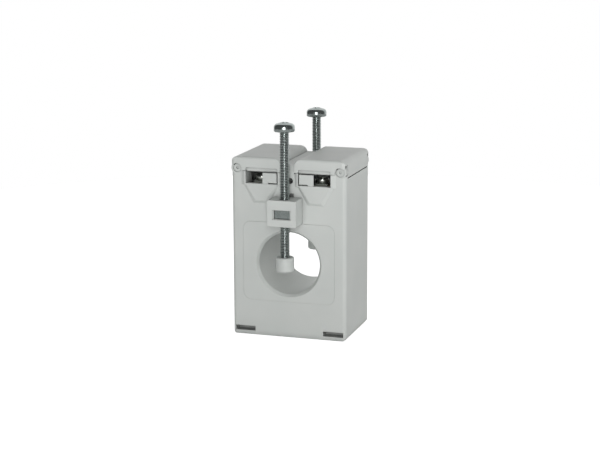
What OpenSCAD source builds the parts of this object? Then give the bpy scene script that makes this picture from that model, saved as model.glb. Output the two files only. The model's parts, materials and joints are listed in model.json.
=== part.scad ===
// Window-type current transformer: a moulded case with a round primary window,
// two hinged terminal lids, and a busbar clamp on the front and on the back.
// Millimetres, +Z up. The origin is the middle of the case's bottom face and
// the front faces -Y.

/* [Case] */
// Depth of the case, front face to back face
case_d = 42; // [40:1:50]
// Height of the case over the closed lids
case_h = 92; // [91:1:100]
// Wall of the case and the cover
wall = 2; // [1.6:0.1:2.2]
// Rounding of the case's edges
edge_r = 2; // [1:0.5:2.5]
// Thickness of the back cover
cover_t = 3; // [2.6:0.2:4]

/* [Primary window] */
// Diameter of the primary window
bore_d = 32; // [30:0.5:36]
// Distance from the window to a side of the case, which holds the core
bore_side = 14; // [13.6:0.1:15]
// Width of the bevel round the window
bore_bevel = 1.2; // [0.4:0.2:1.6]
// How far the plain label panel stands proud
panel_lift = 0.25; // [0.1:0.05:0.3]

/* [Terminals] */
// Height of the lids' top over the lower edge of a terminal window
port_drop = 13.4; // [12.8:0.2:13.8]
// Height of the terminal window
port_h = 6.2; // [5.4:0.2:6.4]
// Half width of the web between the terminal windows
port_x = 5.3; // [4.6:0.1:5.6]
// Distance of the terminal windows from the sides of the case
port_side = 7.8; // [7.4:0.1:9]
// How far the frame round the windows stands proud
frame_lift = 1; // [0.6:0.1:1.2]
// Diameter of the terminal screws
term_d = 4; // [3:0.5:4]
// Thickness of the terminal bars
bar_t = 2.5; // [2:0.25:3]

/* [Lids] */
// Half width of the channel between the lids
lid_gap = 3.3; // [3:0.1:3.8]
// Wall of the lids
lid_wall = 1.6; // [1.2:0.1:1.8]
// Rounding of a lid's edge beside the channel
lid_inner_r = 4.4; // [3:0.2:5]
// Rounding of a lid's outer edge
lid_outer_r = 3.6; // [3:0.2:4]
// Radius of the hinge stubs
stub_r = 2.15; // [1.8:0.05:2.2]

/* [Busbar clamps] */
// Diameter of the clamp screws
screw_d = 4.8; // [4:0.1:5]
// Height from a clamp screw's tip to the underside of its head
screw_l = 69.1; // [66:0.1:74]
// Head diameter of the clamp screws
head_d = 10.4; // [9:0.2:10.6]
// Height of a clamp screw's head
head_h = 4.6; // [3.4:0.2:4.8]
// Width of the clamp blocks
block_w = 15; // [14:0.5:17]
// How far the clamp blocks stand out
block_d = 11.2; // [10.8:0.2:13]
// Height of the clamp blocks
block_h = 13.2; // [12.8:0.1:14]
// Height of the lids' top over the upper edge of the blocks
block_drop = 19.5; // [19.2:0.1:20.5]
// Width across the flats of the square nuts
nut_w = 8; // [7:0.5:8.5]
// Thickness of the square nuts
nut_t = 4; // [3:0.2:4.4]
// Diameter of the tip caps
cap_d = 9.2; // [8:0.2:10]
// Height of the tip caps
cap_h = 7.3; // [6.9:0.1:9]
// How far the front tip cap hangs below the window's axis
cap_drop = 2.4; // [0:0.2:8]
// How much higher the rear screw stands
rear_raise = 0.3; // [0:0.1:2]

/* [Magnetic circuit] */
// Room between the taped core and the sides of the case
core_gap = 0.6; // [0.4:0.1:1.5]
// Length of the core along the window
core_l = 22; // [16:1:24]
// Thickness of the core's paper wrap
wrap_t = 0.5; // [0.3:0.1:0.6]
// Thickness of the winding
winding_t = 1.4; // [1:0.1:1.5]
// Thickness of the outer tape
tape_t = 0.4; // [0.3:0.1:0.5]

/* [Hidden] */
$fn = 64;
overcut = 0.5;             // how far a cut runs past a face
running_gap = 0.05;        // radial clearance of a turning fit
slip_gap = 0.2;            // clearance of parts that are pushed together
layer_gap = 0.05;          // clearance between wound layers
swing_gap = 0.3;           // clearance of the swinging lids

case_w = bore_d + 2 * bore_side;
half_w = case_w / 2;
half_d = case_d / 2;
bore_r = bore_d / 2;
tube_r = bore_r + wall;
port_z = case_h - port_drop;
port_w = half_w - port_side - port_x;
port_top = port_z + port_h;
block_top = case_h - block_drop;
block_z = block_top - block_h;
cover_y = half_d - cover_t;            // parting plane of the back cover
deck_drop = 0.5;
deck_z = block_top - deck_drop;        // floor of the terminal compartments
deck_t = wall;
chamber_top = deck_z - deck_t;         // top of the hollow for the core

// magnetic circuit, from the outside in and from the tube out
core_y = (cover_y - (half_d - wall)) / 2;
tape_out = half_w - wall - core_gap;
winding_out = tape_out - tape_t - layer_gap;
wrap_out = winding_out - winding_t - layer_gap;
core_out = wrap_out - wrap_t - layer_gap;
tube_gap = 0.4;                        // room between the tube and the tape
tape_in = tube_r + tube_gap;
winding_in = tape_in + tape_t + layer_gap;
wrap_in = winding_in + winding_t + layer_gap;
core_in = wrap_in + wrap_t + layer_gap;
wrap_l = core_l + 2 * (wrap_t + layer_gap);
winding_l = wrap_l + 2 * (winding_t + layer_gap);
tape_l = winding_l + 2 * (tape_t + layer_gap);
low_share = 2 / 3;                     // share of the spare height that is below the core
bore_z = wall + tape_out + low_share * (chamber_top - wall - 2 * tape_out);

// hinges
pillar_t = 3;                          // depth of a hinge pillar
hinge_side = 3.1;                      // hinge axis to the side of the case
hinge_drop = 6;                        // hinge axis to the top of the lids
shoulder_drop = 1.8;
hinge_x = half_w - hinge_side;
hinge_z = case_h - hinge_drop;
shoulder_z = hinge_z - shoulder_drop;  // outer lip of the hinge socket
socket_r = stub_r + running_gap;
snap_r = 3.1;                          // outside of the snap ring
snap_mouth = 1.7 * stub_r;             // way in over the snap ring
stub_inset = 0.4;                      // stub face behind the case face
lid_ear_y = half_d - pillar_t - slip_gap;
skirt_drop = 2.7;
lid_skirt_z = hinge_z - skirt_drop;    // lower edge of a lid's side
relief_r = 4.4;                        // room for the swinging lid edge
corner_rise = 1.7;                     // hinge axis to the lower edge of a lid's front corner
side_rise = 3.5;                       // hinge axis to a lid's side at the pillars
notch_rise = 1.8;                      // terminal window to the lid's edge over it
skin_t = 0.8;                          // thickness of a lid's front behind the case face
lid_bottom = port_top + slip_gap;      // lower edge of a lid's front

// terminal compartments
rib_x = lid_gap - swing_gap;           // half width of the centre rib
channel_drop = 3;                      // depth of the channel between the lids
rib_top = case_h - channel_drop;
tab_w = 8;                             // width of a break-out tab
tab_slit = 0.6;
tab_inset = 0.2;                       // tab face behind the frame
tab_t = 1;
tab_web = 2.9;
bar_top = port_z - slip_gap;
bar_gap = 0.4;                         // terminal bar to the front wall
bar_y = -half_d + wall + bar_gap;
bar_w = 8.2;
rib_gap = 0.9;                         // terminal bar to the centre rib
bar_side = 2.3;                        // terminal bar to the outer edge of the window
bar_x0 = rib_x + rib_gap;
bar_x1 = port_x + port_w - bar_side;
tail_w = 6;                            // soldering tail of a terminal bar
tail_l = 4;
term_y = bar_y + bar_w / 2;
term_names = ["inner", "outer"];
bar_margin = 1.1;
washer_w = (bar_x1 - bar_x0) / 2 - bar_margin;
washer_t = 1;
term_shift = 0.3;
washer_gap = 0.5;
term_mid = (bar_x0 + bar_x1) / 2 + term_shift;
term_pitch = washer_w + washer_gap;
term_xs = [term_mid - term_pitch / 2, term_mid + term_pitch / 2];
term_head_d = washer_w - slip_gap;
term_head_z = bar_top + washer_t;
term_head_h = 2.4;
term_l = washer_t + bar_top - deck_z - slip_gap;
lead_x = (bar_x0 + bar_x1) / 2;
lead_y = bar_y + bar_w + tail_l / 2;
lead_d = 1.4;

// busbar clamps
screw_cover = 5.4;                     // screw axis to the front of the block
screw_y = block_d - screw_cover;
slot_sink = 1.5;                       // hook slot below the block's upper edge
slot_z = block_top - slot_sink;
slot_h = 3.4;
slot_w = 5.8;
slot_depth = 3.6;
tongue_t = 1.2;
nut_rise = 4;                          // nut over the lower edge of the block
nut_z = block_z + nut_rise;
cap_z = bore_z - cap_drop;
cap_bore = 6;                          // how deep the tip sits in its cap
cap_room = 2.6;                        // how far a raised cap enters its block

// foot slots
foot_w = 10.6;
foot_side = 1.4;
foot_x = half_w - foot_w - foot_side;
foot_z = 1.9;
foot_h = 2.5;
foot_depth = 5;

terminal_nodes = [for (side = ["left", "right"], name = term_names) str(side, "_", name)];

plastic = "#bfc3bf";
cap_plastic = "#c9cdca";
zinc = "#b4b8b6";
nickel = "#a9a79f";
brass = "#c2a65a";
steel = "#7b7f83";
copper = "#a8582f";
paper = "#b79a66";
tape_yellow = "#c8b45c";
lead_red = "#8f2a22";

// ---- shared forms ----

// Gives a drawing in X and Z a depth along Y, from y0 towards the back.
module along_y(y0, depth) {
    translate([0, y0 + depth, 0]) rotate([90, 0, 0]) linear_extrude(depth) children();
}

// Places children drawn at the front (face at y = 0, inwards +Y) at the front
// or, mirrored, at the back of the case.
module at_face(back = false) {
    mirror([0, back ? 1 : 0, 0]) translate([0, -half_d, 0]) children();
}

module at_both_faces() {
    at_face() children();
    at_face(back = true) children();
}

// Copies children drawn for the right-hand side to the left as well.
module at_both_sides() {
    children();
    mirror([1, 0, 0]) children();
}

// Rectangle with round corners, from the lower left corner.
module round_rect(size, r) {
    translate([r, 0]) square([size.x - 2 * r, size.y]);
    translate([0, r]) square([size.x, size.y - 2 * r]);
    for (x = [r, size.x - r], z = [r, size.y - r]) translate([x, z]) circle(r);
}

// Disc with its axis along Y.
module disc_y(r, y0, depth) {
    translate([0, y0, 0]) rotate([-90, 0, 0]) cylinder(r = r, h = depth);
}

// ---- case ----

// Plan of the case with its round upright edges.
module case_plan() {
    translate([-half_w, -half_d]) round_rect([case_w, case_d], edge_r);
}

// Outside of the case below the lids, with round lower edges.
module case_body() {
    intersection() {
        linear_extrude(shoulder_z) case_plan();
        along_y(-half_d, case_d)
            translate([-half_w, 0]) round_rect([case_w, case_h], edge_r);
    }
    translate([-rib_x, -half_d, 0]) cube([2 * rib_x, case_d, rib_top]);
}

// Snap ring and post for the front right stub, drawn at y = 0.
module hinge_post() {
    post_w = 2.5;
    post_h = 4.6;
    along_y(0, pillar_t) {
        translate([hinge_x - post_w, shoulder_z - post_h / 2]) square([post_w, post_h]);
        translate([hinge_x, hinge_z]) circle(snap_r);
    }
}

// Room for the stub and the way in over the snap ring.
module hinge_cut() {
    along_y(-overcut, pillar_t + 2 * overcut) {
        translate([hinge_x, hinge_z]) circle(socket_r);
        translate([hinge_x - snap_mouth / 2, hinge_z]) square([snap_mouth, 2 * snap_r]);
    }
}

// Slab with sloped sides: one outline on the wall, a smaller one at the front.
module sloped_slab(base, top) {
    hull() {
        along_y(0, wall / 2) polygon(base);
        along_y(-frame_lift, 0.1) polygon(top);
    }
}

// Raised frame round the right-hand terminal window, and the sloped shield
// under it. Drawn at y = 0, standing out towards -Y.
module terminal_frame() {
    x0 = port_x;
    x1 = port_x + port_w;
    rim = 0.7;             // flat rim of the frame
    slope_in = 1;          // run of the slope beside the channel
    slope_out = 1.8;       // run of the slope beside the hinge
    sill = 0.4;
    sloped_slab(
        [[x0 - rim - slope_in, port_z - 2 * sill], [x1 + rim + slope_out, port_z - 2 * sill],
         [x1 + rim + slope_out, port_top], [x0 - rim - slope_in, port_top]],
        [[x0 - rim, port_z - sill], [x1 + rim, port_z - sill], [x1 + rim, port_top], [x0 - rim, port_top]]
    );
    sloped_slab(shield_outline(0), shield_outline(1.4));
}

// Outline of the shield, set in by the given amount.
function shield_outline(inset) = let (
    shoulder = 1.6,
    shield_h = 10,
    foot_in = 4.9,
    foot_out = 3.8,
    x0 = port_x + inset,
    x1 = port_x + port_w - inset
) [
    [x0 - 0.8, port_z], [x0 + 1.1, port_z - shoulder],
    [x0 + foot_in, port_z - shield_h + inset], [x1 - foot_out, port_z - shield_h + inset],
    [x1 - 0.9, port_z - shoulder], [x1 + shoulder, port_z]
];

// Terminal window with its break-out tab, cut from outside at y = 0. A closed
// window keeps its tab over the whole width.
module terminal_port(open) {
    through = wall + 3 * frame_lift;
    tab_y = tab_inset - frame_lift;
    along_y(-2 * frame_lift, through) translate([port_x, port_z]) {
        if (open)
            translate([tab_w, 0]) square([port_w - tab_w, 2 * port_h]);
        // slits beside, below and above the tab
        square([tab_slit, 2 * port_h]);
        square([tab_w - tab_web, tab_slit]);
        translate([0, port_h - tab_slit]) square([port_w, port_h]);
    }
    translate([port_x, 0, port_z]) {
        translate([0, tab_y + tab_t, 0]) cube([port_w, through, 2 * port_h]);
        translate([0, tab_y - through, 0]) cube([port_w, through, 2 * port_h]);
    }
}

// Pocket for a push-in foot at the lower right corner, cut at y = 0.
module foot_pocket() {
    translate([foot_x, -overcut, foot_z]) cube([foot_w, foot_depth + overcut, foot_h]);
}

// Slot that holds the clamp block's hook, and the round-ended hole above it.
module clamp_slots() {
    hole_r = 1.5;
    hole_half = 1;
    hole_depth = 8;
    translate([-slot_w / 2, -overcut, slot_z]) cube([slot_w, slot_depth + overcut, slot_h]);
    along_y(-overcut, hole_depth + overcut) translate([0, port_z + port_h / 3]) {
        for (x = [-hole_half, hole_half]) translate([x, 0]) circle(hole_r);
        translate([-hole_half, -hole_r]) square(2 * [hole_half, hole_r]);
    }
}

// Outline of the blank label panel round the window.
module label_panel() {
    side = 6;
    margin = 3.7;
    corner_r = 4;
    x = half_w - side;
    z = bore_z - bore_r - margin;
    translate([-x, z]) round_rect([2 * x, block_z - swing_gap - z], corner_r);
}

// Outside of the case with the features of its front or of its back.
module case_solid(back) {
    difference() {
        union() {
            case_body();
            at_face(back) {
                at_both_sides() {
                    terminal_frame();
                    hinge_post();
                }
                along_y(-panel_lift, panel_lift + wall / 2) label_panel();
            }
        }
        disc_bore();
        // room for the lids between the hinge pillars
        at_both_sides() {
            translate([hinge_x, 0, hinge_z])
                disc_y(relief_r, -half_d + pillar_t, case_d - 2 * pillar_t);
            translate([rib_x, -half_d + pillar_t, lid_skirt_z - 0.5])
                cube([half_w, case_d - 2 * pillar_t, case_h]);
        }
        at_face(back) {
            at_both_sides() {
                hinge_cut();
                foot_pocket();
                terminal_port(open = !back);
            }
            clamp_slots();
        }
    }
}

// Primary window with a bevel at each end.
module disc_bore() {
    translate([0, -half_d, bore_z]) {
        disc_y(bore_r, -overcut - panel_lift, case_d + 2 * (overcut + panel_lift));
        for (y = [0, case_d]) translate([0, y, 0]) rotate([y == 0 ? -90 : 90, 0, 0])
            translate([0, 0, -panel_lift])
                cylinder(r1 = bore_r + bore_bevel, r2 = bore_r, h = bore_bevel + panel_lift);
    }
}

// Hollow for the core, round the primary tube.
module core_chamber() {
    along_y(-half_d + wall, cover_y + half_d - wall + overcut) difference() {
        translate([-half_w + wall, wall]) round_rect([case_w - 2 * wall, chamber_top - wall], 1);
        translate([0, bore_z]) circle(tube_r);
    }
}

// Hollow of the right-hand terminal compartment.
module terminal_chamber() {
    translate([rib_x + 0.4, -half_d + wall, deck_z])
        cube([half_w - wall - rib_x - 0.4, cover_y + half_d - wall + overcut, case_h]);
}

// Solid pads that stay standing in the hollows.
module inner_pads() {
    at_both_sides() {
        translate([foot_x - 1, -half_d + 0.5, 0.5])
            cube([foot_w + 1.5, foot_depth + 0.7, foot_z + foot_h + 0.7]);
        // bench under the terminal bar
        translate([bar_x0 - 1, -half_d + 1, deck_z - 1])
            cube([bar_x1 - bar_x0 + 1, wall + bar_w - 0.6, bar_top - bar_t - deck_z + 1]);
    }
    // block that carries the hook slot
    translate([-slot_w / 2 - 1.2, -half_d + 0.5, slot_z - 2])
        cube([slot_w + 2.4, slot_depth + 1, slot_h + 3.2]);
}

module housing() {
    color(plastic) difference() {
        union() {
            difference() {
                case_solid(back = false);
                core_chamber();
                at_both_sides() terminal_chamber();
            }
            difference() {
                inner_pads();
                at_face() at_both_sides() foot_pocket();
                at_face() clamp_slots();
            }
        }
        // everything behind the parting plane belongs to the cover
        translate([-case_w, cover_y, -overcut]) cube([2 * case_w, case_d, 2 * case_h]);
        at_face(back = true) clamp_slots();
        at_both_sides() {
            for (x = term_xs) translate([x, term_y, deck_z])
                cylinder(d = term_d + 1, h = bar_top);
            translate([lead_x, lead_y, chamber_top - overcut])
                cylinder(d = lead_d + 2 * slip_gap, h = deck_t + 2 * overcut);
        }
    }
}

// Rim that centres the cover in the case, and pads behind its pockets.
module cover_rim() {
    rim_l = 2.4;
    rim_t = 1.4;
    x = half_w - wall - slip_gap;
    z0 = wall + slip_gap;
    z1 = chamber_top - slip_gap;
    along_y(cover_y - rim_l, rim_l + 0.5) difference() {
        translate([-x, z0]) round_rect([2 * x, z1 - z0], 1);
        translate([-x + rim_t, z0 + rim_t]) round_rect([2 * (x - rim_t), z1 - z0 - 2 * rim_t], 1);
    }
    translate([0, 0, bore_z]) difference() {
        disc_y(tube_r + slip_gap + rim_t, cover_y - rim_l, rim_l + 0.5);
        disc_y(tube_r + slip_gap, cover_y - 2 * rim_l, 2 * rim_l);
    }
    at_both_sides()
        translate([foot_x - 1, half_d - foot_depth - 1, z0])
            cube([half_w - wall - 0.7 - foot_x + 1, foot_depth, foot_z + foot_h + 1 - z0]);
}

module back_cover() {
    color(plastic) difference() {
        union() {
            intersection() {
                case_solid(back = true);
                translate([-case_w, cover_y, -overcut]) cube([2 * case_w, case_d, 2 * case_h]);
            }
            cover_rim();
        }
        at_face(back = true) {
            at_both_sides() foot_pocket();
            clamp_slots();
        }
        disc_bore();
    }
}

// ---- lids, drawn for the right-hand side ----

// Section of a lid, set in by the given amount.
module lid_section(inset, z0) {
    x0 = lid_gap + inset;
    x1 = half_w - inset;
    top = case_h - inset;
    r0 = lid_inner_r - inset;
    r1 = lid_outer_r - inset;
    translate([x0, z0]) square([x1 - x0, top - max(r0, r1) - z0]);
    translate([x0 + r0, z0]) square([x1 - r1 - x0 - r0, top - z0]);
    translate([x1 - r1, z0]) square([r1, top - r1 - z0]);
    translate([x0, z0]) square([r0, top - r0 - z0]);
    translate([x0 + r0, top - r0]) circle(r0);
    translate([x1 - r1, top - r1]) circle(r1);
}

// Outside of a lid with round edges all about.
module lid_block() {
    out = half_d + frame_lift;
    crest_r = 1.4;
    intersection() {
        along_y(-out, 2 * out) lid_section(0, lid_skirt_z);
        translate([-case_w, 0, 0]) rotate([90, 0, 90]) linear_extrude(2 * case_w)
            translate([-out, lid_skirt_z - 4]) round_rect([2 * out, case_h - lid_skirt_z + 4], crest_r);
        linear_extrude(2 * case_h)
            translate([-half_w, -out]) round_rect([case_w, 2 * out], edge_r);
    }
}

// What the hinge takes from a lid's front corner, cut at y = 0: the skin before
// the case face keeps clear of the stub, and behind it only the roof is left.
module hinge_room() {
    room_r = stub_r + swing_gap;
    ring_r = snap_r + slip_gap;
    along_y(-2 * frame_lift, 2 * frame_lift + pillar_t + slip_gap) {
        translate([hinge_x, hinge_z]) circle(room_r);
        translate([hinge_x, 0]) square([half_w, hinge_z + corner_rise]);
        translate([hinge_x - room_r, 0]) square([half_w, hinge_z]);
        square([half_w, lid_bottom]);
    }
    along_y(-slip_gap, pillar_t + 2 * slip_gap) {
        intersection() {
            lid_section(lid_wall, 0);
            translate([hinge_x - ring_r, 0]) square([half_w, case_h]);
        }
        translate([hinge_x, 0]) square([half_w, hinge_z + side_rise]);
    }
}

module lid() {
    lip_y = 0.4;
    lip_t = 0.9;
    dimple_r = 0.7;
    dimple_d = 0.5;
    difference() {
        lid_block();
        // inside, between the ears and on to the ends over the terminal windows
        along_y(-lid_ear_y + lid_wall, 2 * (lid_ear_y - lid_wall)) lid_section(lid_wall, 0);
        along_y(-half_d + skin_t, 2 * (half_d - skin_t)) intersection() {
            lid_section(lid_wall, 0);
            square([hinge_x - snap_r, case_h]);
        }
        at_both_faces() {
            hinge_room();
            // notch over the terminal window
            along_y(-2 * frame_lift, 2 * frame_lift + slip_gap)
                translate([port_x, port_z]) round_rect([port_w, port_h + notch_rise], skin_t);
        }
        // the inner side ends above the centre rib's flanks
        translate([0, -half_d, 0]) cube([lid_gap + 2, case_d, lid_skirt_z + 1.2]);
    }
    at_both_faces() {
        // lip that closes the terminal window from above
        translate([port_x + slip_gap, lip_y, port_top - slip_gap])
            cube([port_w - 2 * slip_gap, lip_t, case_h - lid_wall / 2 - port_top]);
        // hinge stub with its dimple
        translate([hinge_x, 0, hinge_z]) difference() {
            disc_y(stub_r, stub_inset, pillar_t - stub_inset + slip_gap + lid_wall / 2);
            disc_y(dimple_r, 0, stub_inset + dimple_d);
        }
    }
}

module left_lid() {
    color(plastic) mirror([1, 0, 0]) lid();
}

module right_lid() {
    color(plastic) lid();
}

// ---- busbar clamps, drawn at the front with the case face at y = 0 ----

module clamp_block() {
    nut_room = nut_w + 2 * slip_gap;
    color(plastic) difference() {
        union() {
            along_y(-block_d, block_d)
                translate([-block_w / 2, block_z]) round_rect([block_w, block_top - block_z], 0.6);
            // hook that sits in the case's slot
            translate([-slot_w / 2 + slip_gap, -1, block_top - tongue_t])
                cube([slot_w - 2 * slip_gap, slot_depth + 1 - slip_gap, tongue_t]);
        }
        translate([0, -screw_y, block_z - 1]) {
            cylinder(d = screw_d + 0.6, h = block_top);
            // room for the raised cap, so that it leaves the window free
            cylinder(d = cap_d + slip_gap, h = cap_room + 1);
        }
        // pocket that takes the nut from outside
        translate([-nut_room / 2, -block_d - overcut, nut_z - slip_gap])
            cube([nut_room, block_d - screw_y + nut_room / 2 + overcut, nut_t + 2 * slip_gap]);
        // wider mouth of the pocket
        translate([-nut_room / 2 - 0.7, -block_d - overcut, nut_z - slip_gap - 0.3])
            cube([nut_room + 1.4, 1, nut_t + 2 * slip_gap + 0.6]);
    }
}

module clamp_nut() {
    color(zinc) translate([0, -screw_y, nut_z]) difference() {
        translate([-nut_w / 2, -nut_w / 2, 0]) cube([nut_w, nut_w, nut_t]);
        translate([0, 0, -overcut]) cylinder(d = screw_d + 2 * running_gap, h = nut_t + 2 * overcut);
    }
}

// Cross recess of a screw head, cut down from z = 0.
module cross_recess(span, depth) {
    slot = span / 5;
    for (a = [0, 90]) rotate(a) translate([-span / 2, -slot / 2, -depth]) cube([span, slot, depth + 2]);
    translate([0, 0, -depth - 0.4]) cylinder(d1 = slot, d2 = 2.2 * slot, h = depth + 0.4);
}

// Pan head with a gently crowned top, underside at z = 0.
module pan_head(d, h) {
    crown = 0.16 * h;
    r = 0.3 * h;
    rotate_extrude() polygon(concat(
        [[0, 0], [d / 2 - 0.3, 0], [d / 2, 0.3]],
        [for (a = [0:15:75]) [d / 2 - r + r * cos(a), h - crown - r + r * sin(a)]],
        [for (i = [3:-1:0]) let (t = i / 4) [(d / 2 - r) * t, h - crown * t * t]]
    ));
}

module clamp_screw(raise) {
    tip_z = cap_z + cap_h - cap_bore + 0.3 + raise;
    color(zinc) translate([0, -screw_y, tip_z]) difference() {
        union() {
            cylinder(d1 = screw_d - 1, d2 = screw_d, h = 0.5);
            translate([0, 0, 0.5]) cylinder(d = screw_d, h = screw_l);
            translate([0, 0, screw_l]) pan_head(head_d, head_h);
        }
        translate([0, 0, screw_l + head_h]) cross_recess(head_d * 0.5, head_h * 0.5);
    }
}

module tip_cap(raise) {
    color(cap_plastic) translate([0, -screw_y, cap_z + raise]) difference() {
        rotate_extrude() polygon([
            [0, 0], [cap_d / 2 - 0.5, 0], [cap_d / 2, 0.5],
            [cap_d / 2, cap_h - 0.4], [cap_d / 2 - 0.4, cap_h], [0, cap_h]
        ]);
        translate([0, 0, cap_h - cap_bore])
            cylinder(d = screw_d + 2 * running_gap, h = cap_bore + overcut);
    }
}

// ---- terminals, drawn for the right-hand side ----

module terminal_bar() {
    color(brass) difference() {
        union() {
            translate([bar_x0, bar_y, bar_top - bar_t]) cube([bar_x1 - bar_x0, bar_w, bar_t]);
            translate([lead_x - tail_w / 2, bar_y + bar_w - overcut, bar_top - 1])
                cube([tail_w, tail_l + overcut, 1]);
        }
        for (x = term_xs) translate([x, term_y, 0])
            cylinder(d = term_d + 2 * running_gap, h = case_h);
        translate([lead_x, lead_y, 0]) cylinder(d = lead_d + 2 * running_gap, h = case_h);
    }
}

module terminal_screw(x) {
    rim = 0.35;
    slot = 0.9;
    color(nickel) translate([x, term_y, term_head_z]) difference() {
        union() {
            translate([0, 0, -term_l]) cylinder(d = term_d, h = term_l + 0.1);
            cylinder(d = term_head_d, h = term_head_h - rim);
            translate([0, 0, term_head_h - rim])
                cylinder(d1 = term_head_d, d2 = term_head_d - 2 * rim, h = rim);
        }
        translate([0, 0, term_head_h]) cross_recess(term_head_d * 0.55, term_head_h * 0.5);
        translate([-term_head_d, -slot / 2, term_head_h * 0.6])
            cube([2 * term_head_d, slot, term_head_h]);
    }
}

module clamp_washer(x) {
    color(nickel) translate([x, term_y, bar_top]) difference() {
        translate([-washer_w / 2, -washer_w / 2, 0]) cube([washer_w, washer_w, washer_t]);
        translate([0, 0, -overcut]) cylinder(d = term_d + 2 * running_gap, h = washer_t + 1);
    }
}

// ---- magnetic circuit ----

// Closed sleeve round the primary tube: a ring wall between two radii, along
// the window, hollow for the next layer inside it.
module wound_layer(r_in, r_out, length, t) {
    translate([0, core_y, bore_z]) rotate([90, 0, 0]) difference() {
        translate([0, 0, -length / 2]) cylinder(r = r_out, h = length, $fn = 96);
        translate([0, 0, -length]) cylinder(r = r_in, h = 2 * length, $fn = 96);
        if (t > 0) difference() {
            translate([0, 0, -length / 2 + t]) cylinder(r = r_out - t, h = length - 2 * t, $fn = 96);
            translate([0, 0, -length]) cylinder(r = r_in + t, h = 2 * length, $fn = 96);
        }
    }
}

module core() {
    color(steel) wound_layer(core_in, core_out, core_l, 0);
}

module core_wrap() {
    color(paper) wound_layer(wrap_in, wrap_out, wrap_l, wrap_t);
}

module secondary_winding() {
    color(copper) wound_layer(winding_in, winding_out, winding_l, winding_t);
}

module winding_tape() {
    color(tape_yellow) wound_layer(tape_in, tape_out, tape_l, tape_t);
}

// Lead from the top of the winding through the deck to the bar's tail.
module lead() {
    start_z = bore_z + sqrt(pow(tape_out, 2) - pow(lead_x - lead_d / 2, 2)) + layer_gap;
    color(lead_red) translate([lead_x, lead_y, start_z]) cylinder(d = lead_d, h = bar_top + 0.6 - start_z);
}

housing();
back_cover();
left_lid();
right_lid();
at_face() clamp_block();  // front_clamp_block
at_face(back = true) clamp_block();  // rear_clamp_block
at_face() clamp_nut();  // front_clamp_nut
at_face(back = true) clamp_nut();  // rear_clamp_nut
at_face() clamp_screw(0);  // front_clamp_screw
at_face(back = true) clamp_screw(rear_raise);  // rear_clamp_screw
at_face() tip_cap(0);  // front_tip_cap
at_face(back = true) tip_cap(rear_raise);  // rear_tip_cap
mirror([1, 0, 0]) terminal_bar();  // left_terminal_bar
terminal_bar();  // right_terminal_bar
for (i = [0, 1]) {
    mirror([1, 0, 0]) terminal_screw(term_xs[i]);
    terminal_screw(term_xs[i]);
    mirror([1, 0, 0]) clamp_washer(term_xs[i]);
    clamp_washer(term_xs[i]);
}
core();
core_wrap();
secondary_winding();
winding_tape();
mirror([1, 0, 0]) lead();  // left_lead
lead();  // right_lead
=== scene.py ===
import json
import math

import bmesh
import bpy
from mathutils import Matrix, Quaternion, Vector


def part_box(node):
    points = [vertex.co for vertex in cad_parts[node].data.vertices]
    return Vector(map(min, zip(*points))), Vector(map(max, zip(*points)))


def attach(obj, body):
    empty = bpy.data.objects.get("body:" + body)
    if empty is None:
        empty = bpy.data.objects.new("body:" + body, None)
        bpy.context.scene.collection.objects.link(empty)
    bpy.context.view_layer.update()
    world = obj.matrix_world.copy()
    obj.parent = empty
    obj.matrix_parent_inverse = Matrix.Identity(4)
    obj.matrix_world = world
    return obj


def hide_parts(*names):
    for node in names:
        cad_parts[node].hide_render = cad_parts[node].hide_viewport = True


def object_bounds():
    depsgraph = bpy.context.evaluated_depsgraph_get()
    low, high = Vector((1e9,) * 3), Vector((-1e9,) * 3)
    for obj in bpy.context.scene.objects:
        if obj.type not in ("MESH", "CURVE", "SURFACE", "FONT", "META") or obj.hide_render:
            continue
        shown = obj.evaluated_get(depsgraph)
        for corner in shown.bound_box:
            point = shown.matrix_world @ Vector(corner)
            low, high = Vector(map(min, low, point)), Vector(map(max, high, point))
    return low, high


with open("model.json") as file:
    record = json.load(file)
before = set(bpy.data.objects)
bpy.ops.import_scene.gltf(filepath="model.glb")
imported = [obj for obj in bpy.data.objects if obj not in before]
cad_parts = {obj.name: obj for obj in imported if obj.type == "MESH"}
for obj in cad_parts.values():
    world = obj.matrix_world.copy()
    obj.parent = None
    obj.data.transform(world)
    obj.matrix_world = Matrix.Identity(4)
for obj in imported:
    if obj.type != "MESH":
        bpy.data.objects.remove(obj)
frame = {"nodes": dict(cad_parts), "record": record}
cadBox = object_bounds()
nodes = frame["nodes"]
mm = 0.001
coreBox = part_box("core")
coreHeight = (coreBox[0][2] + coreBox[1][2]) / 2
lidAxis = next(j["pos_m"][2] for j in frame["record"]["behaviour"]["joints"] if j["name"] == "left_lid_hinge")
print("frame loaded:", len(nodes), "nodes")

# view and camera

shot = {
    "position": (0.2466, -0.7691, 0.2243),
    "direction": (-0.29951, 0.93151, -0.20634),
    "roll": -0.21,
    "focalLength": 96.48,
}


def addCamera():
    data = bpy.data.cameras.new("productCamera")
    data.lens = shot["focalLength"]
    data.sensor_width = 36
    data.clip_start, data.clip_end = 0.01, 20
    camera = bpy.data.objects.new("productCamera", data)
    camera.location = shot["position"]
    camera.rotation_mode = "QUATERNION"
    aim = Vector(shot["direction"]).to_track_quat("-Z", "Y")
    camera.rotation_quaternion = aim @ Quaternion((0, 0, 1), math.radians(shot["roll"]))
    bpy.context.scene.collection.objects.link(camera)
    bpy.context.scene.camera = camera


addCamera()
bpy.context.scene.view_settings.view_transform = "Standard"
print("camera placed")

# materials


def linear(hexColour):
    parts = [int(hexColour[i:i + 2], 16) / 255 for i in (1, 3, 5)]
    return tuple(c / 12.92 if c <= 0.04045 else ((c + 0.055) / 1.055) ** 2.4 for c in parts) + (1,)


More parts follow.
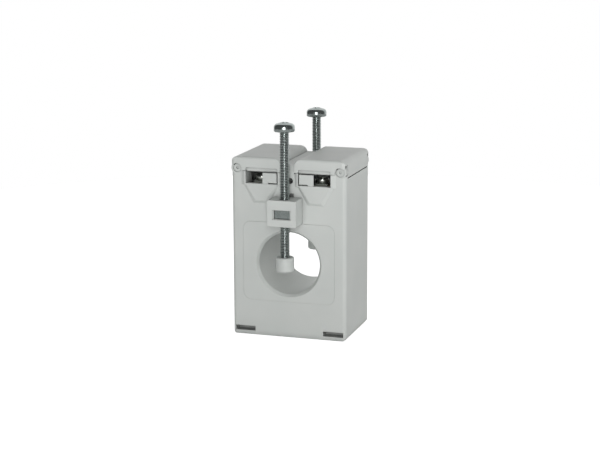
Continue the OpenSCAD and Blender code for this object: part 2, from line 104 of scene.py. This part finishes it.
def addNode(tree, kind, values={}, links={}, **options):
    node = tree.nodes.new(kind)
    for name, value in options.items():
        setattr(node, name, value)
    for name, value in values.items():
        node.inputs[name].default_value = value
    for name, source in links.items():
        tree.links.new(source, node.inputs[name])
    return node


def newMaterial(name, values):
    material = bpy.data.materials.new(name)
    material.use_nodes = True
    tree = material.node_tree
    tree.nodes.clear()
    shader = addNode(tree, "ShaderNodeBsdfPrincipled", values)
    addNode(tree, "ShaderNodeOutputMaterial", {}, {"Surface": shader.outputs[0]})
    place = addNode(tree, "ShaderNodeTexCoord").outputs["Object"]
    return material, tree, shader, place


def perMetre(sizeMm):
    return 1 / (sizeMm * mm)


def ringPlace(tree, place):
    # the same point seen from the middle of the wound core
    shift = addNode(tree, "ShaderNodeMapping", {"Location": (0, 0, -coreHeight)}, {"Vector": place})
    return shift.outputs[0]


def ringAngle(tree, place):
    # angle round the core in radians
    apart = addNode(tree, "ShaderNodeSeparateXYZ", {}, {0: ringPlace(tree, place)})
    angle = addNode(tree, "ShaderNodeMath", {}, {0: apart.outputs["Z"], 1: apart.outputs["X"]},
                    operation="ARCTAN2")
    return angle.outputs[0]


def rampFrom(tree, source, look, start, end):
    tone = addNode(tree, "ShaderNodeValToRGB", {}, {"Fac": source})
    dark, light = tone.color_ramp.elements
    dark.position, light.position = start, end
    dark.color, light.color = linear(look["shade"]), linear(look["colour"])
    return tone.outputs[0]


def addRelief(tree, shader, source, strength, depthMm):
    bump = addNode(tree, "ShaderNodeBump", {"Strength": strength, "Distance": depthMm * mm},
                   {"Height": source})
    tree.links.new(bump.outputs[0], shader.inputs["Normal"])


def mouldedPlastic(name, look):
    # glass-filled polycarbonate from a spark-eroded mould: even, satin, a very fine grain
    # and edges that catch the light; the colour itself is darkened in narrow recesses by ambient occlusion, a
    # painted shade
    material, tree, shader, place = newMaterial(name, {"IOR": 1.58})
    cloud = addNode(tree, "ShaderNodeTexNoise", {"Scale": perMetre(18), "Detail": 3}, {"Vector": place})
    # painted shade: the colour is darkened where ambient occlusion finds a narrow recess
    paintedShadeAO = addNode(tree, "ShaderNodeAmbientOcclusion", {"Distance": look["paintedShadeMm"] * mm}, samples=12)
    shade = addNode(tree, "ShaderNodeMapRange", {1: 0.15, 2: 0.8, 3: look["paintedShadeDarkest"], 4: 1},
                    {0: paintedShadeAO.outputs["AO"]})
    body = addNode(tree, "ShaderNodeMix", {"Factor": 1},
                   {"A": rampFrom(tree, cloud.outputs[0], look, 0.3, 0.7), "B": shade.outputs[0]},
                   data_type="RGBA", blend_type="MULTIPLY")
    tree.links.new(body.outputs["Result"], shader.inputs["Base Color"])
    grain = addNode(tree, "ShaderNodeTexNoise", {"Scale": perMetre(look["grainMm"]), "Detail": 2},
                    {"Vector": place})
    gloss = addNode(tree, "ShaderNodeMapRange", {3: look["roughness"] - 0.05, 4: look["roughness"] + 0.05},
                    {0: grain.outputs[0]})
    tree.links.new(gloss.outputs[0], shader.inputs["Roughness"])
    edge = addNode(tree, "ShaderNodeBevel", {"Radius": look["edgeMm"] * mm}, samples=6)
    bump = addNode(tree, "ShaderNodeBump", {"Strength": 0.25, "Distance": 0.02 * mm},
                   {"Height": grain.outputs[0], "Normal": edge.outputs[0]})
    tree.links.new(bump.outputs[0], shader.inputs["Normal"])
    return material


def platedSteel(name, look):
    # electroplated steel: bright and a little uneven, with fine drawing marks along the axis
    material, tree, shader, place = newMaterial(name, {"Metallic": 1})
    cloud = addNode(tree, "ShaderNodeTexNoise", {"Scale": perMetre(1.5), "Detail": 4}, {"Vector": place})
    tree.links.new(rampFrom(tree, cloud.outputs[0], look, 0.35, 0.7), shader.inputs["Base Color"])
    stretch = addNode(tree, "ShaderNodeMapping", {"Scale": (1, 1, 0.08)}, {"Vector": place})
    marks = addNode(tree, "ShaderNodeTexNoise", {"Scale": perMetre(0.3), "Detail": 2},
                    {"Vector": stretch.outputs[0]})
    gloss = addNode(tree, "ShaderNodeMapRange", {3: look["roughness"] - 0.06, 4: look["roughness"] + 0.08},
                    {0: marks.outputs[0]})
    tree.links.new(gloss.outputs[0], shader.inputs["Roughness"])
    edge = addNode(tree, "ShaderNodeBevel", {"Radius": 0.12 * mm}, samples=6)
    tree.links.new(edge.outputs[0], shader.inputs["Normal"])
    return material


def insulatedWire(name, look):
    # enamelled copper wire wound close round a ring: each turn a small round ridge, its colour drawn darker
    # towards the groove beside the next turn as a painted shade
    material, tree, shader, place = newMaterial(name, {"IOR": 1.6, "Roughness": 0.28, "Coat Weight": 0.6})
    turn = ringAngle(tree, place)
    count = addNode(tree, "ShaderNodeMath", {1: look["turns"]}, {0: turn}, operation="MULTIPLY")
    ridge = addNode(tree, "ShaderNodeMath", {}, {0: count.outputs[0]}, operation="SINE")
    # painted shade: the colour goes dark where each turn dips into the groove beside the next
    tone = rampFrom(tree, ridge.outputs[0], look, 0.2, 0.8)
    tree.links.new(tone, shader.inputs["Base Color"])
    addRelief(tree, shader, ridge.outputs[0], 0.8, look["depthMm"])
    return material


def woundStrip(name, look):
    # silicon-steel strip wound like a clock spring: fine rings on the end faces
    material, tree, shader, place = newMaterial(name, {"Metallic": 0.9, "Roughness": 0.42})
    apart = addNode(tree, "ShaderNodeSeparateXYZ", {}, {0: ringPlace(tree, place)})
    flat = addNode(tree, "ShaderNodeCombineXYZ", {}, {"X": apart.outputs["X"], "Z": apart.outputs["Z"]})
    radius = addNode(tree, "ShaderNodeVectorMath", {}, {0: flat.outputs[0]}, operation="LENGTH")
    layer = addNode(tree, "ShaderNodeMath", {1: 2 * math.pi * perMetre(look["stripMm"])},
                    {0: radius.outputs["Value"]}, operation="MULTIPLY")
    ring = addNode(tree, "ShaderNodeMath", {}, {0: layer.outputs[0]}, operation="SINE")
    tone = rampFrom(tree, ring.outputs[0], look, 0.1, 0.9)
    tree.links.new(tone, shader.inputs["Base Color"])
    addRelief(tree, shader, ring.outputs[0], 0.5, 0.05)
    return material


def wrapPaper(name, look):
    # cellulose insulating paper in overlapping turns: matt and fibrous
    material, tree, shader, place = newMaterial(name, {"Roughness": 0.85, "IOR": 1.5})
    fibre = addNode(tree, "ShaderNodeTexNoise", {"Scale": perMetre(0.8), "Detail": 5, "Distortion": 1.2},
                    {"Vector": place})
    tone = rampFrom(tree, fibre.outputs[0], look, 0.35, 0.68)
    tree.links.new(tone, shader.inputs["Base Color"])
    addRelief(tree, shader, fibre.outputs[0], 0.6, 0.08)
    return material


def windingTape(name, look):
    # polyester tape in overlapping turns: smooth film that shows a step at each edge, with the colour darker
    # at the foot of each step as a painted shadow of that step
    material, tree, shader, place = newMaterial(name, {"Roughness": 0.3, "IOR": 1.64})
    turn = ringAngle(tree, place)
    count = addNode(tree, "ShaderNodeMath", {1: look["turns"] / (2 * math.pi)}, {0: turn},
                    operation="MULTIPLY")
    step = addNode(tree, "ShaderNodeMath", {}, {0: count.outputs[0]}, operation="FRACT")
    # painted shadow: the colour is darkest just below each step and lightens across the turn
    tone = rampFrom(tree, step.outputs[0], look, 0.05, 0.35)
    tree.links.new(tone, shader.inputs["Base Color"])
    addRelief(tree, shader, step.outputs[0], 0.5, look["depthMm"])
    return material


def softSleeve(name, look):
    # extruded soft vinyl sleeve: satin, with a faint mottle
    material, tree, shader, place = newMaterial(name, {"IOR": 1.53})
    mottle = addNode(tree, "ShaderNodeTexNoise", {"Scale": perMetre(0.6), "Detail": 3}, {"Vector": place})
    tone = rampFrom(tree, mottle.outputs[0], look, 0.3, 0.7)
    tree.links.new(tone, shader.inputs["Base Color"])
    gloss = addNode(tree, "ShaderNodeMapRange", {3: 0.38, 4: 0.5}, {0: mottle.outputs[0]})
    tree.links.new(gloss.outputs[0], shader.inputs["Roughness"])
    addRelief(tree, shader, mottle.outputs[0], 0.2, 0.03)
    return material


# the last two values of each plastic set its painted shade in recesses: the reach in millimetres and the
# darkest share of the colour
casePlastic = mouldedPlastic("casePlastic", {
    "colour": "#c3c6c3", "shade": "#bec2bf", "grainMm": 0.35, "roughness": 0.5, "edgeMm": 0.3,
    "paintedShadeMm": 5, "paintedShadeDarkest": 0.45})
capPlastic = mouldedPlastic("capPlastic", {
    "colour": "#c0c4c1", "shade": "#bbbfbc", "grainMm": 0.3, "roughness": 0.42, "edgeMm": 0.25,
    "paintedShadeMm": 3, "paintedShadeDarkest": 0.5})
zincSteel = platedSteel("zincSteel", {"colour": "#a9b1af", "shade": "#9ba3a1", "roughness": 0.2})
nickelSteel = platedSteel("nickelSteel", {"colour": "#c6c9c3", "shade": "#adb1ab", "roughness": 0.24})
rolledBrass = platedSteel("rolledBrass", {"colour": "#b8a46c", "shade": "#9c8a58", "roughness": 0.3})
coreStrip = woundStrip("coreStrip", {"colour": "#85888b", "shade": "#5d6063", "stripMm": 0.6})
corePaper = wrapPaper("corePaper", {"colour": "#c4a878", "shade": "#a98c5c"})
copperWire = insulatedWire("copperWire", {
    "colour": "#b5652f", "shade": "#6e3417", "turns": 170, "depthMm": 0.3})
yellowTape = windingTape("yellowTape", {
    "colour": "#d2c067", "shade": "#b3a04a", "turns": 26, "depthMm": 0.25})
leadSleeve = softSleeve("leadSleeve", {"colour": "#9c2f27", "shade": "#7d221c"})

finishes = {
    "case_plastic": casePlastic, "cap_plastic": capPlastic, "zinc_steel": zincSteel,
    "nickel_steel": nickelSteel, "bar_brass": rolledBrass, "core_strip": coreStrip,
    "wrap_paper": corePaper, "winding_wire": copperWire, "winding_tape": yellowTape,
    "lead_sleeve": leadSleeve,
}
for part in frame["record"]["subparts"]:
    node = nodes[part["node"]]
    node.data.materials.clear()
    node.data.materials.append(finishes[part["material_slot"]])
print("finishes applied")

# screws and wire guides

joinGap = 1e-6  # points closer than this, in metres, are one point
sliverGap = 1e-5  # edges shorter than this after a cut, in metres, are closed up


def closeMesh(bm, name):
    bmesh.ops.remove_doubles(bm, verts=bm.verts, dist=joinGap)
    bmesh.ops.recalc_face_normals(bm, faces=bm.faces)
    mesh = bpy.data.meshes.new(name)
    bm.to_mesh(mesh)
    bm.free()
    return mesh


def spinProfile(bm, points, steps):
    # turns a line of points, each a radius and a height, once round the Z axis
    line = [bm.verts.new((radius, 0, height)) for radius, height in points]
    edges = [bm.edges.new(pair) for pair in zip(line, line[1:])]
    bmesh.ops.spin(bm, geom=line + edges, cent=(0, 0, 0), axis=(0, 0, 1), angle=2 * math.pi, steps=steps,
                   use_merge=True)


threadForm = {"rootEnd": 0.1, "crestStart": 0.44, "crestEnd": 0.56, "rootStart": 0.9}  # shares of one pitch


def threadMesh(screw, length):
    # one pitch of the thread goes up round the axis, then both ends are cut flat and closed
    outer = screw["diameter"] / 2 * mm
    inner = outer - screw["threadDepth"] * mm
    pitch = screw["pitch"] * mm
    bm = bmesh.new()
    shape = ((inner, 0), (inner, threadForm["rootEnd"]), (outer, threadForm["crestStart"]),
             (outer, threadForm["crestEnd"]), (inner, threadForm["rootStart"]), (inner, 1))
    line = [bm.verts.new((radius, 0, (part - 1) * pitch)) for radius, part in shape]
    edges = [bm.edges.new(pair) for pair in zip(line, line[1:])]
    turns = math.ceil(length / pitch) + 2
    steps = turns * screw["threadSteps"]
    bmesh.ops.spin(bm, geom=line + edges, cent=(0, 0, 0), axis=(0, 0, 1), dvec=(0, 0, turns * pitch / steps),
                   angle=2 * math.pi * turns, steps=steps, use_merge=False)
    bmesh.ops.remove_doubles(bm, verts=bm.verts, dist=joinGap)
    for height, side in ((0, -1), (length, 1)):
        everything = bm.verts[:] + bm.edges[:] + bm.faces[:]
        bmesh.ops.bisect_plane(bm, geom=everything, dist=0.1 * joinGap, plane_co=(0, 0, height),
                               plane_no=(0, 0, side), clear_outer=True)
        rim = [edge for edge in bm.edges
               if edge.is_boundary and all(abs(v.co.z - height) < joinGap for v in edge.verts)]
        bmesh.ops.holes_fill(bm, edges=rim, sides=0)
    return closeMesh(bm, "thread")


recess = {"barWidth": 0.2, "lowLength": 0.55, "lowWidth": 0.7, "slotReach": 1.2, "sink": 0.1}  # shares


def recessMesh(screw):
    # cross of two bars that taper downwards, and a straight slot where the head has one
    bm = bmesh.new()
    span, depth = screw["recessSpan"] * mm, screw["recessDepth"] * mm
    width = recess["barWidth"] * span
    bars = [(span, width, depth, 0), (span, width, depth, math.pi / 2)]
    if screw["slotWidth"]:
        reach = recess["slotReach"] * screw["headDiameter"] * mm
        bars.append((reach, screw["slotWidth"] * mm, screw["slotDepth"] * mm, 0))
    for length, width, deep, turn in bars:
        made = bmesh.ops.create_cube(bm, size=1)["verts"]
        bmesh.ops.scale(bm, vec=(length, width, 2 * deep), verts=made)
        low = [v for v in made if v.co.z < 0]
        if deep == depth:
            bmesh.ops.scale(bm, vec=(recess["lowLength"], recess["lowWidth"], 1), verts=low)
        bmesh.ops.rotate(bm, verts=made, matrix=Matrix.Rotation(turn, 3, "Z"))
    mesh = bpy.data.meshes.new("recess")
    bm.to_mesh(mesh)
    bm.free()
    return mesh


def carved(mesh, cutter):
    # takes the cutter's shape out of the mesh and gives the result as a mesh of its own
    body = bpy.data.objects.new("carvedBody", mesh)
    tool = bpy.data.objects.new("carvingTool", cutter)
    for piece in (body, tool):
        bpy.context.scene.collection.objects.link(piece)
    cut = body.modifiers.new("cut", "BOOLEAN")
    cut.operation, cut.solver, cut.object, cut.use_self = "DIFFERENCE", "EXACT", tool, True
    ready = body.evaluated_get(bpy.context.evaluated_depsgraph_get())
    bm = bmesh.new()
    bm.from_mesh(bpy.data.meshes.new_from_object(ready))
    for piece in (body, tool):
        bpy.data.objects.remove(piece)
    bmesh.ops.dissolve_degenerate(bm, edges=bm.edges, dist=sliverGap)  # where the cutter's bars cross
    return closeMesh(bm, mesh.name + "Carved")


def headMesh(screw):
    # a turned head with a small chamfer below, a round edge and a slightly crowned top
    bm = bmesh.new()
    radius, height = screw["headDiameter"] / 2 * mm, screw["headHeight"] * mm
    edge, crown, chamfer = screw["edgeRadius"] * mm, screw["crown"] * mm, screw["chamfer"] * mm
    rise = [(radius - edge + edge * math.cos(a), height - crown - edge + edge * math.sin(a))
            for a in (math.radians(d) for d in range(0, 91, 15))]
    dome = [((radius - edge) * t, height - crown * t * t) for t in (0.8, 0.6, 0.4, 0.2, 0)]
    spinProfile(bm, [(0, 0), (radius - chamfer, 0), (radius, chamfer)] + rise + dome, screw["headSteps"])
    head = closeMesh(bm, "head")
    cutter = recessMesh(screw)
    cutter.transform(Matrix.Translation((0, 0, height - recess["sink"] * crown)))
    return carved(head, cutter)


def addScrew(screw, node, body):
    low, high = (Vector(corner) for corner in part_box(node))
    length = high.z - low.z - screw["headHeight"] * mm
    bm = bmesh.new()
    bm.from_mesh(threadMesh(screw, length))
    head = headMesh(screw)
    head.transform(Matrix.Translation((0, 0, length)))
    bm.from_mesh(head)
    mesh = bpy.data.meshes.new(node + "Piece")
    bm.to_mesh(mesh)
    bm.free()
    mesh.transform(Matrix.Translation(((low.x + high.x) / 2, (low.y + high.y) / 2, low.z)))
    mesh.shade_smooth()
    mesh.set_sharp_from_angle(angle=math.radians(screw["sharpAngle"]))
    mesh.materials.append(finishes[screw["slot"]])
    piece = bpy.data.objects.new(node + "Piece", mesh)
    bpy.context.scene.collection.objects.link(piece)
    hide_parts(node)
    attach(piece, body)


# millimetres, set out from the terminal bar and the lid's hinge axis
wireGuide = {
    "thickness": 0.8, "length": 6.4, "edge": 0.25, "toBar": 2.3, "underBar": 3.9, "beforeBar": 0.4,
    "underAxis": 2, "cutBack": 2.4,
}


def addWireGuide(side):
    # thin wall behind the outer edge of the terminal window that leads the wire to its screw
    low, high = (Vector(corner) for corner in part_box(side + "_terminal_bar"))
    sign = -1 if side == "left" else 1
    inner = sign * (max(abs(low.x), abs(high.x)) + wireGuide["toBar"] * mm)
    bottom, top = low.z - wireGuide["underBar"] * mm, lidAxis - wireGuide["underAxis"] * mm
    front = low.y - wireGuide["beforeBar"] * mm
    back = front + wireGuide["length"] * mm
    cut = wireGuide["cutBack"] * mm
    bm = bmesh.new()
    outline = ((front, bottom), (back, bottom), (back, top - cut), (back - cut, top), (front, top))
    face = bm.faces.new([bm.verts.new((inner, y, z)) for y, z in outline])
    grown = bmesh.ops.extrude_face_region(bm, geom=[face])
    moved = [item for item in grown["geom"] if isinstance(item, bmesh.types.BMVert)]
    bmesh.ops.translate(bm, verts=moved, vec=(sign * wireGuide["thickness"] * mm, 0, 0))
    bmesh.ops.bevel(bm, geom=bm.edges[:], offset=wireGuide["edge"] * mm, affect="EDGES", segments=2,
                    profile=0.5, material=-1)
    mesh = closeMesh(bm, side + "WireGuide")
    mesh.materials.append(casePlastic)
    piece = bpy.data.objects.new(side + "WireGuide", mesh)
    bpy.context.scene.collection.objects.link(piece)
    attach(piece, "case")


# sizes in millimetres and angles in degrees; a slot width of 0 leaves the cross alone
clampScrew = {
    "diameter": 4.8, "pitch": 0.8, "threadDepth": 0.36, "threadSteps": 24,
    "headDiameter": 10.4, "headHeight": 4.6, "chamfer": 0.25, "edgeRadius": 1.9, "crown": 0.7,
    "headSteps": 64,
    "recessSpan": 5.4, "recessDepth": 2.2, "slotWidth": 0, "sharpAngle": 65, "slot": "zinc_steel",
}
terminalScrew = {
    "diameter": 4, "pitch": 0.7, "threadDepth": 0.38, "threadSteps": 24,
    "headDiameter": 6.7, "headHeight": 2.4, "chamfer": 0.25, "edgeRadius": 0.35, "crown": 0.05,
    "headSteps": 64,
    "recessSpan": 3.7, "recessDepth": 1.5, "slotWidth": 0.9, "slotDepth": 1, "sharpAngle": 65,
    "slot": "nickel_steel",
}
for end in ("front", "rear"):
    addScrew(clampScrew, end + "_clamp_screw", end + "_screw")
for side in ("left", "right"):
    addWireGuide(side)
    for place in ("inner", "outer"):
        addScrew(terminalScrew, side + "_" + place + "_terminal_screw", side + "_" + place + "_screw")
print("screws and wire guides made")

# floor and light

studio = {
    "backdrop": 1.0, "backdropFade": (0.35, 0.75), "fill": 0.2, "room": 0.12,
    "floorColour": "#f2f2f2", "floorSize": 0.45, "floorGlow": 0.75, "floorGap": 0.05,
}


def addWorld():
    # the camera sees white everywhere; light and reflections get white from behind the object only,
    # and a dim room from the camera's side: fill is what lights, room is what metal reflects
    world = bpy.data.worlds.new("studioWorld")
    world.use_nodes = True
    tree = world.node_tree
    tree.nodes.clear()
    path = addNode(tree, "ShaderNodeLightPath")
    place = addNode(tree, "ShaderNodeTexCoord").outputs["Generated"]
    apart = addNode(tree, "ShaderNodeSeparateXYZ", {}, {0: place})
    front = addNode(tree, "ShaderNodeMix", {"A": studio["fill"], "B": studio["room"]},
                    {"Factor": path.outputs["Is Glossy Ray"]})
    start, full = studio["backdropFade"]
    soft = addNode(tree, "ShaderNodeMapRange", {1: start, 2: full, 4: studio["backdrop"]},
                   {0: apart.outputs["Y"], 3: front.outputs[0]}, interpolation_type="SMOOTHSTEP")
    seen = addNode(tree, "ShaderNodeMath", {},
                   {0: path.outputs["Is Camera Ray"], 1: path.outputs["Is Transmission Ray"]},
                   operation="MAXIMUM")
    strength = addNode(tree, "ShaderNodeMix", {"B": studio["backdrop"]},
                       {"Factor": seen.outputs[0], "A": soft.outputs[0]})
    backdrop = addNode(tree, "ShaderNodeBackground", {"Color": (1, 1, 1, 1)},
                       {"Strength": strength.outputs[0]})
    addNode(tree, "ShaderNodeOutputWorld", {}, {"Surface": backdrop.outputs[0]})
    bpy.context.scene.world = world


# metal mirrors only the key lamp; distances and sizes are in metres
lamps = {
    "keyLamp": {"azimuth": 14, "elevation": 7, "distance": 1.3, "size": (0.45, 1.1), "power": 13.5,
                "mirrored": True},
    "sideLamp": {"azimuth": 80, "elevation": 8, "distance": 1.1, "size": (0.9, 0.9), "power": 3.8,
                 "mirrored": False},
    "backLamp": {"azimuth": 196, "elevation": 9, "distance": 1.2, "size": (1.0, 0.7), "power": 7,
                 "mirrored": False},
}
lampAim = Vector((0, 0, 0.05))


def addLamp(name, lamp):
    # azimuth turns from the front towards the right, and the lamp faces the middle of the case
    data = bpy.data.lights.new(name, "AREA")
    data.shape = "RECTANGLE"
    data.size, data.size_y = lamp["size"]
    data.energy = lamp["power"]
    turn, rise = math.radians(lamp["azimuth"]), math.radians(lamp["elevation"])
    way = Vector((math.sin(turn) * math.cos(rise), -math.cos(turn) * math.cos(rise), math.sin(rise)))
    light = bpy.data.objects.new(name, data)
    light.location = lampAim + lamp["distance"] * way
    light.rotation_mode = "QUATERNION"
    light.rotation_quaternion = (-way).to_track_quat("-Z", "Y")
    light.visible_glossy = lamp["mirrored"]
    light.visible_camera = False
    bpy.context.scene.collection.objects.link(light)


def addFloor():
    # a pale round floor that the camera sees as nearly white, so that it fades into the background
    bm = bmesh.new()
    bmesh.ops.create_circle(bm, cap_ends=True, segments=96, radius=studio["floorSize"])
    mesh = bpy.data.meshes.new("floor")
    bm.to_mesh(mesh)
    bm.free()
    floor = bpy.data.objects.new("floor", mesh)
    mesh.transform(Matrix.Translation((0, 0, cadBox[0][2] - studio["floorGap"] * mm)))
    bpy.context.scene.collection.objects.link(floor)
    material = bpy.data.materials.new("paleFloor")
    material.use_nodes = True
    tree = material.node_tree
    tree.nodes.clear()
    path = addNode(tree, "ShaderNodeLightPath")
    paint = addNode(tree, "ShaderNodeBsdfDiffuse", {"Color": linear(studio["floorColour"])})
    shown = addNode(tree, "ShaderNodeMath", {1: studio["floorGlow"]}, {0: path.outputs["Is Camera Ray"]},
                    operation="MULTIPLY")
    glow = addNode(tree, "ShaderNodeEmission", {"Color": (1, 1, 1, 1)}, {"Strength": shown.outputs[0]})
    both = addNode(tree, "ShaderNodeAddShader", {}, {0: paint.outputs[0], 1: glow.outputs[0]})
    addNode(tree, "ShaderNodeOutputMaterial", {}, {"Surface": both.outputs[0]})
    mesh.materials.append(material)


addWorld()
addFloor()
for name, lamp in lamps.items():
    addLamp(name, lamp)
print("studio ready")
